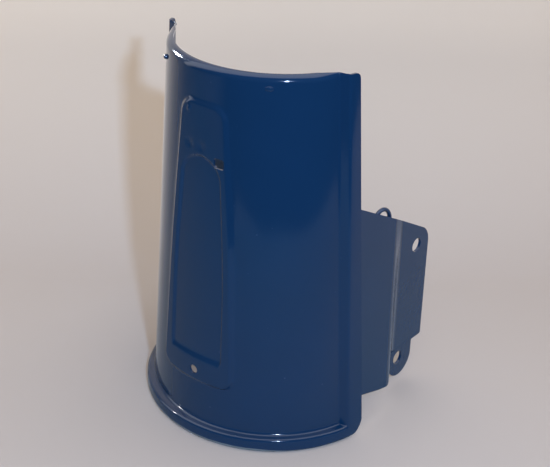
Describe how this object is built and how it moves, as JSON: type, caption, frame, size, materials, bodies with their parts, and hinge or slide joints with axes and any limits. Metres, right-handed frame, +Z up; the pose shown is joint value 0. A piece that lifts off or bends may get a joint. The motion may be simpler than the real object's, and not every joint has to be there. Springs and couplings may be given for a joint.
{
  "type": "moped headset cover",
  "caption": "Tapered half-round pressed steel cover with a stepped hem, a raised panel with an arched recess, and rear side brackets with bolt holes.",
  "frame": {"origin": "on the floor, in the middle of the whole object; the cover stands on its bottom hem", "axes": "+Z up, the front faces -Y, the wire hoop is on the +X bracket"},
  "size_m": [0.157, 0.145, 0.23],
  "materials": {
    "paint": "gloss"
  },
  "bodies": {
    "root": {"cover": "paint", "bracket_right": "paint", "bracket_left": "paint", "wire_hoop": "paint"}
  },
  "joints": []
}
